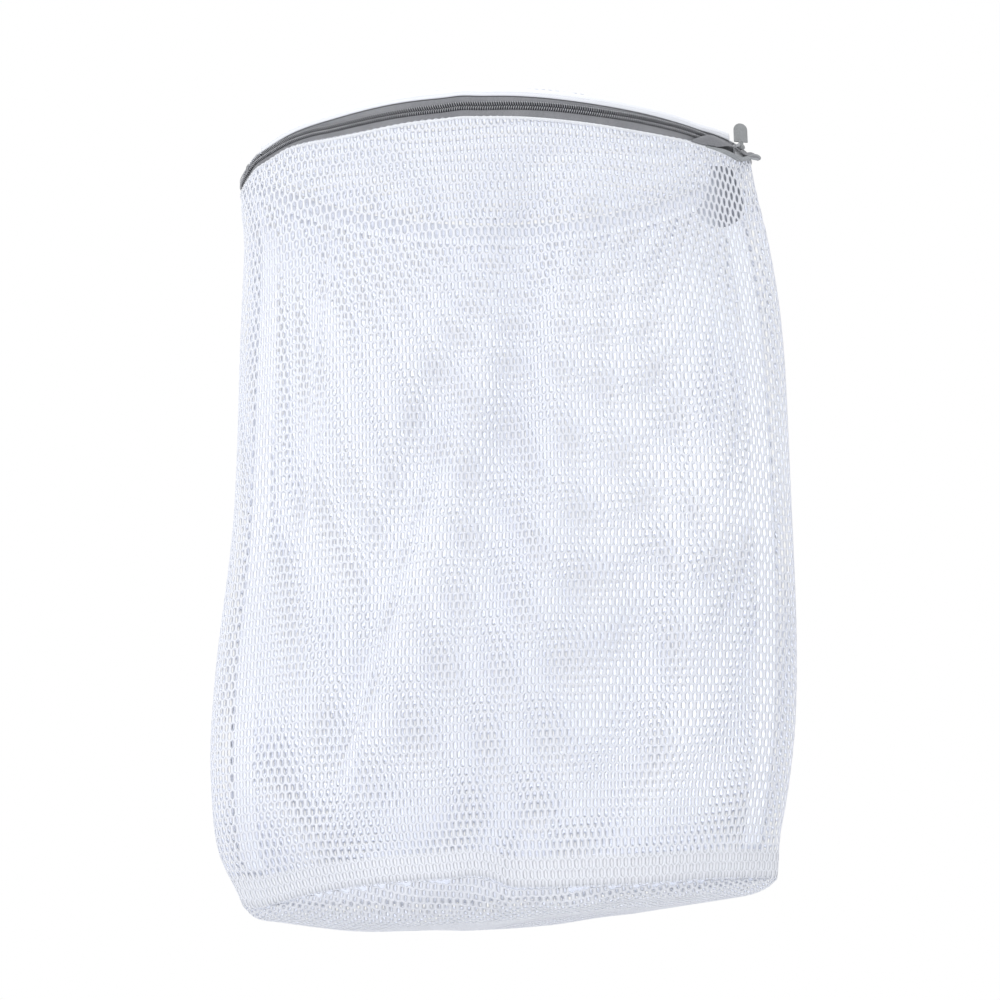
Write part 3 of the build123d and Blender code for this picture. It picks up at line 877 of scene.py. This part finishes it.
def make_tapes():
    """Both halves of the zipper's tape, with dark strips of painted shadow along its outer edges and
    near-black cords of painted shade inside the coil.
    """
    wall_half, lid_half = tape_half(-1, TAPE_LOW + TAPE_UNDER_HEM), tape_half(1, TAPE_HIGH)
    tape = {"sway": rim_sway, "material": TAPE_GREY, "slot": "zip_tape"}
    band("wall_zip_tape", -END_S, END_S, wall_half, stand_for=["wall_zip_tape"], **tape)
    band("lid_zip_tape", -MOVING_S, MOVING_S, lid_half, body="lid", stand_for=["lid_zip_tape"], **tape)
    band("upper_tape_end_left", *LEFT_END, lid_half, stand_for=["upper_tape_ends"], **tape)
    band("upper_tape_end_right", *RIGHT_END, lid_half, **tape)

    # strips of the near-black tape along both of the tape's outer edges: painted shadow
    edge = [(-0.55, -0.35), (-0.35, 0), (-0.55, 0.35), (-1.2, 0.35), (-1.2, -0.35)]
    low_edge = [(out, up - TAPE_LOW + 0.25) for out, up in edge]
    high_edge = [(out, up + TAPE_HIGH - 0.3) for out, up in edge]
    dark = {"sway": rim_sway, "material": TAPE_EDGE_SHADOW}
    band("wall_tape_edge", -END_S, END_S, low_edge, **dark)
    band("lid_tape_edge", -MOVING_S, MOVING_S, high_edge, body="lid", **dark)

    # near-black cords inside the coil: painted shade between the coil's two rows
    upper_core = [(-0.62, 0.1), (-0.35, 1.2), (-0.62, 2.6), (-0.98, 2.9), (-0.98, 0.05)]
    lower_core = [(out, -up) for out, up in reversed(upper_core)]
    cord = {"sway": rim_sway, "material": PAINTED_SHADE_BLACK}
    band("lid_coil_cord", -MOVING_S, MOVING_S, upper_core, body="lid", **cord)
    band("wall_coil_cord", -END_S, END_S, lower_core, **cord)
    band("upper_coil_cord_left", *LEFT_END, upper_core, **cord)
    band("upper_coil_cord_right", *RIGHT_END, upper_core, **cord)


def make_zipper():
    """The tapes, the coil, and the net's hems above and below with their rows of stitches."""
    make_tapes()
    make_coil("wall_coil", [(-END_S, END_S)], -1, "bag")
    make_coil("lid_coil", [(-MOVING_S, MOVING_S)], 1, "lid")
    make_coil("upper_coil_ends", [LEFT_END, RIGHT_END], 1, "bag")

    hem = [(-0.9, -0.8), (0.0, -0.9), (0.25, -0.3), (0.25, 0.3), (0.0, 0.8), (-0.9, 0.9)]
    hem = [(out, up - TAPE_LOW - 0.5) for out, up in hem]
    wide_hem = [(-0.9, -0.5), (-0.1, -0.6), (0.35, 0.0), (0.3, 1.8), (0.0, 3.6), (-0.7, 4.9), (-1.3, 4.9)]
    wide_hem = [(out, up + TAPE_HIGH + 0.4) for out, up in wide_hem]
    white = {"material": WHITE, "slot": "binding"}
    band("rim_hem", -END_S, END_S, hem, sway=rim_sway, **white)
    band("lid_hem", -MOVING_S, MOVING_S, wide_hem, sway=rim_sway, body="lid", **white)

    pitch, length = 2.4, 1.9
    thread = {"material": THREAD, "slot": "thread"}
    low_row, high_row = -TAPE_LOW - TAPE_UNDER_HEM, TAPE_HIGH + 2.2
    stitches("wall_topstitch", -END_S, s_of_x(FLAP_FROM_X), 0.25, low_row, pitch, length, 0.28,
             stand_for=["wall_topstitch"], **thread)
    stitches("lid_topstitch", -MOVING_S, MOVING_S, 0.28, high_row, pitch, length, 0.2, body="lid",
             stand_for=["lid_topstitch"], **thread)


def make_rim_back():
    """The back of the rim, where the lid is sewn straight to the wall."""
    back_from, back_to = END_S, RIM_ROUND - END_S
    band("rim_back_binding", back_from, back_to, [(-0.9, -8), (-2.2, -8), (-2.2, -2), (-0.9, -2)], step=3,
         material=WHITE, slot="binding", stand_for=["rim_binding"])
    roll = [
        (-0.9, -TAPE_EDGE), (-0.2, -TAPE_EDGE - 0.2), (0.2, -TAPE_EDGE + 0.5), (-0.1, TAPE_EDGE),
        (-0.9, TAPE_EDGE),
    ]
    band("rim_back_seam", back_from, back_to, roll, step=3, material=WHITE, slot="binding")


# ---- the slider and what it parks in -----------------------------------------------------------
def flap_sheet(name, keys, thick, **kwargs):
    """A sheet round the rim through keys of (s, upper edge, lower edge, out at each of the two)."""
    rows, step = 13, 1.2
    keys = np.array(keys, float)
    s = np.arange(keys[0, 0], keys[-1, 0] + step / 2, step)
    top, bottom, out_top, out_bottom = (spline(keys[:, 0], keys[:, i], s)[:, None] for i in range(1, 5))
    k = np.linspace(0, 1, rows)[None]
    up = top + (bottom - top) * k
    swell = 0.7 * np.sin(pi * k) * smooth(top - bottom, 1, 6) + 0.12 * np.sin(s / 2.6)[:, None] * k
    out = out_top + (out_bottom - out_top) * k**1.6 + swell
    ss = np.broadcast_to(s[:, None], up.shape)
    uv = np.stack([ss, up], -1)
    near, far = (rim_at(ss, o, up, lift=False)[:, ::-1] for o in (out, out - thick))
    return slab(name, near, far, uv=uv[:, ::-1], **kwargs)


def make_garage():
    """The folded end of the tape: a cover over the parked slider, a flap below it painted lighter, and a slit
    between them made dark by a near-black sheet of painted shade.
    """
    cover = [
        (134, -5.4, -7.0, 0.6, 0.4), (142, -1.2, -6.4, 2.6, 0.8), (148, 0.8, -5.4, 3.6, 1.6),
        (156, 1.0, -4.2, 3.8, 2.8), (164, 1.0, -1.3, 3.8, 4.0), (172, 1.0, -0.1, 3.8, 4.3),
        (182, 1.0, -0.8, 3.8, 4.4), (190, 4.2, 0.6, 3.8, 4.6), (200, 7.4, 5.0, 3.6, 5.6),
        (209, 9.6, 8.4, 4.4, 6.8),
    ]
    flap = [
        (146, -6.0, -6.9, 0.6, 0.4), (154, -5.0, -6.3, 1.8, 0.5), (162, -4.1, -5.8, 2.8, 0.6),
        (172, -3.7, -5.5, 3.2, 0.8), (180, -3.0, -5.1, 3.8, 1.0), (186, 0.2, -3.0, 4.5, 1.2),
        (193, 4.0, 1.4, 5.3, 1.4), (201, 6.8, 4.4, 6.4, 2.4), (209, 9.4, 8.0, 8.0, 6.4),
    ]
    # a near-black sheet behind the slit: painted shade inside the folded tape
    slit_shade_keys = [
        (150, -3.2, -5.6, 0.7, 0.2), (158, 0.6, -5.2, 1.0, 0.3), (172, 0.6, -5.0, 1.2, 0.3),
        (184, 0.2, -4.0, 1.2, 0.3),
    ]
    flap_sheet("garage_cover", cover, 0.7, material=TAPE_GREY, slot="zip_tape", stand_for=["slider_garage"])
    # the flap is the same tape, in its paler copy with painted light
    flap_sheet("garage_flap", flap, 0.6, material=TAPE_FLAP_PAINTED_LIT, slot="zip_tape")
    flap_sheet("garage_slit_painted_shade", slit_shade_keys, 0.4, material=PAINTED_SHADE_BLACK)


def make_tail():
    """The spare end of the tape, hanging inside the bag behind the net, bent along its length."""
    low, high = (np.array(v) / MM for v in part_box("tape_tail"))
    k = np.linspace(0, 1, 30)[:, None]
    c = np.linspace(-1, 1, 9)[None]
    left = spline([0, 0.5, 0.87, 1], [-13.0, -18.0, -22.0, -14.0], k)
    right = spline([0, 0.5, 0.87, 1], [1.0, 5.6, 3.0, -6.0], k)
    middle, wide = (left + right) / 2, (right - left) / 2
    x = high[0] - 6.0 + middle + wide * c
    y = low[1] + 6.0 + 0.22 * (x - low[0]) + 3.0 * (1 - c) * k + 1.2 * np.sin(3 * k + 2 * c) * k
    z = high[2] + 5.0 - (high[2] - low[2]) * k - 1.2 * c * k
    near = np.stack([x, y, z], -1)
    far = near + np.array([0.3, 0.9, 0])
    uv = np.stack([wide * c + 0 * k, 42 * k + 0 * c], -1)
    slab("tape_tail_end", near, far, uv=uv, material=TAPE_TAIL_PAINTED_LIGHT, slot="zip_tape", stand_for=["tape_tail"])


def make_tacks():
    """A close row of stitches across the chain at each end of the zipper."""
    s = np.concatenate([side * np.linspace(TACK_FROM, TACK_TO, 7) for side in (-1, 1)])
    k = np.linspace(0, 1, 7)
    up = np.broadcast_to(3.4 - 6.8 * k, (len(s), 7))
    out = np.broadcast_to(1.0 + 0.35 * np.sin(pi * k), (len(s), 7))
    paths = rim_at(np.broadcast_to(s[:, None], up.shape), out, up)
    points, faces = tubes(paths, np.array([0.1, 0.2, 0.22, 0.22, 0.22, 0.2, 0.1]), 6)
    add_mesh("tack_stitches", points, faces, material=TACK_THREAD, slot="tack_thread",
             stand_for=["bar_tacks"])


def make_slider():
    """The slider, its pin and the puller are the CAD's own pieces, with better materials."""
    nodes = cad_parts
    for name, material, slot in (
        ("slider_body", ENAMEL, "slider_metal"),
        ("slider_crown", ENAMEL, "slider_metal"),
        ("puller_pin", ENAMEL, "slider_metal"),
        ("puller_tab", PULLER, "puller_plastic"),
    ):
        obj = nodes[name]
        obj.data.materials.clear()
        obj.data.materials.append(material)


# ---- camera, light and floor -------------------------------------------------------------------
FLOOR_Z = -0.125
FLOOR_HALF = 6.0
INNER_LIGHT = 0.88  # stands for the light that real yarns let through into the bag
CAMERA_PLACE = (-0.0005, -1.5997, -0.09)
CAMERA_PITCH, CAMERA_ROLL = 12.5, -2.77


def add_light(name, kind, place, power):
    """A light of one kind, in the scene."""
    light = bpy.data.lights.new(name, kind)
    light.energy = power
    obj = bpy.data.objects.new(name, light)
    obj.location = place
    bpy.context.scene.collection.objects.link(obj)
    return obj


def make_stage():
    """A pale floor, a white world, two large soft lights and small ones inside the bag."""
    m = Material("floor_pale", (0.8, 0.8, 0.8), 0.8)
    m.link(m.ramp(m.noise(3, 4), (0.3, (0.77, 0.77, 0.775)), (0.7, (0.83, 0.83, 0.83))), "Base Color")
    m.bump(m.noise(250, 3), 0.2, 0.2)
    corners = np.array([(-1, -1), (1, -1), (1, 1), (-1, 1)]) * FLOOR_HALF / MM
    points = np.concatenate([corners, np.full((4, 1), FLOOR_Z / MM)], 1)
    floor = add_mesh("floor", points, [np.array([[0, 1, 2, 3]])], material=m.material, ride=False)

    world = bpy.data.worlds.new("studio")
    bpy.context.scene.world = world
    world.use_nodes = True
    world.node_tree.nodes["Background"].inputs[0].default_value = (1, 1, 1, 1)
    world.node_tree.nodes["Background"].inputs[1].default_value = 1.0

    for name, place, size, power in (("key", (-1.2, -1.6, 1.5), 1.2, 14), ("top", (0.2, 0.3, 2.0), 1.5, 7.5)):
        soft = add_light(name, "AREA", place, power)
        soft.data.size = size
        to_bag = Vector((0, 0, 0.25)) - Vector(place)
        soft.rotation_euler = to_bag.to_track_quat("-Z", "Y").to_euler()
    places = [(-0.09, 0.12), (0.09, 0.12), (-0.085, 0.27), (0.1, 0.27), (-0.06, 0.41), (0.08, 0.41)]
    for i, (x, z) in enumerate(places):
        inner = add_light(f"light_through_net_{i}", "POINT", (x, 0.01, z), INNER_LIGHT / len(places))
        inner.data.shadow_soft_size = 0.06


def make_camera():
    """The photograph looks up at the bag from in front of it and a little below its base."""
    pitch, roll = radians(CAMERA_PITCH), radians(CAMERA_ROLL)
    look = np.array([0, cos(pitch), sin(pitch)])
    level_up = np.array([0, -sin(pitch), cos(pitch)])
    right = cos(roll) * np.array([1, 0, 0]) + sin(roll) * level_up
    up = -sin(roll) * np.array([1, 0, 0]) + cos(roll) * level_up
    data = bpy.data.cameras.new("camera")
    data.sensor_width, data.lens = 36.0, 93.6
    data.clip_start, data.clip_end = 0.05, 50
    cam = bpy.data.objects.new("camera", data)
    place = Matrix.Identity(4)
    for row in range(3):
        place[row][0], place[row][1], place[row][2] = right[row], up[row], -look[row]
    place.translation = CAMERA_PLACE
    cam.matrix_world = place
    bpy.context.scene.collection.objects.link(cam)
    bpy.context.scene.camera = cam
    bpy.context.scene.view_settings.view_transform = "Standard"


make_stage()
make_camera()
make_zipper()
make_rim_back()
make_walls()
make_base()
make_lid()
make_bindings()
make_garage()
make_tail()
make_tacks()
make_slider()
